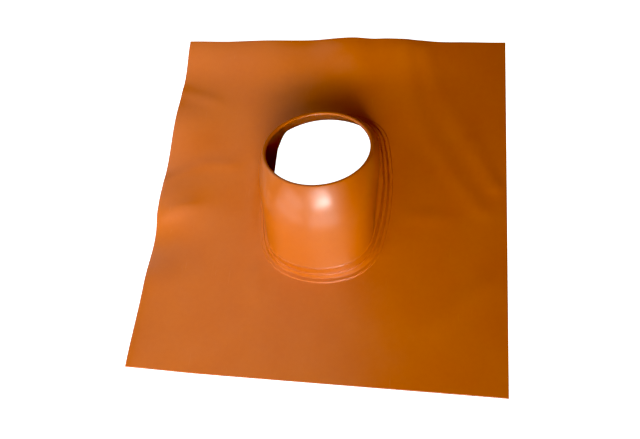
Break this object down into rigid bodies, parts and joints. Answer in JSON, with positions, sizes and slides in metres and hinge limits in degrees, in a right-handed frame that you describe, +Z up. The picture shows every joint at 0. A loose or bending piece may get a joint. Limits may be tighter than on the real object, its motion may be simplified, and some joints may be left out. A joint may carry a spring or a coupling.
{
  "type": "ventilation roof tile",
  "caption": "Thin square roof plate with a stepped oval base and a leaning open spout that a vent or flue pipe passes through.",
  "frame": {"origin": "centre of the bounding box, on the level face that lies on the roof", "axes": "+Z up from the roof face, +Y up the slope, +X to the right seen from the eaves"},
  "size_m": [0.475, 0.5, 0.1213],
  "materials": {
    "terracotta_plastic": "satin, smooth, terracotta"
  },
  "bodies": {
    "root": {"vent_tile": "terracotta_plastic"}
  },
  "joints": []
}
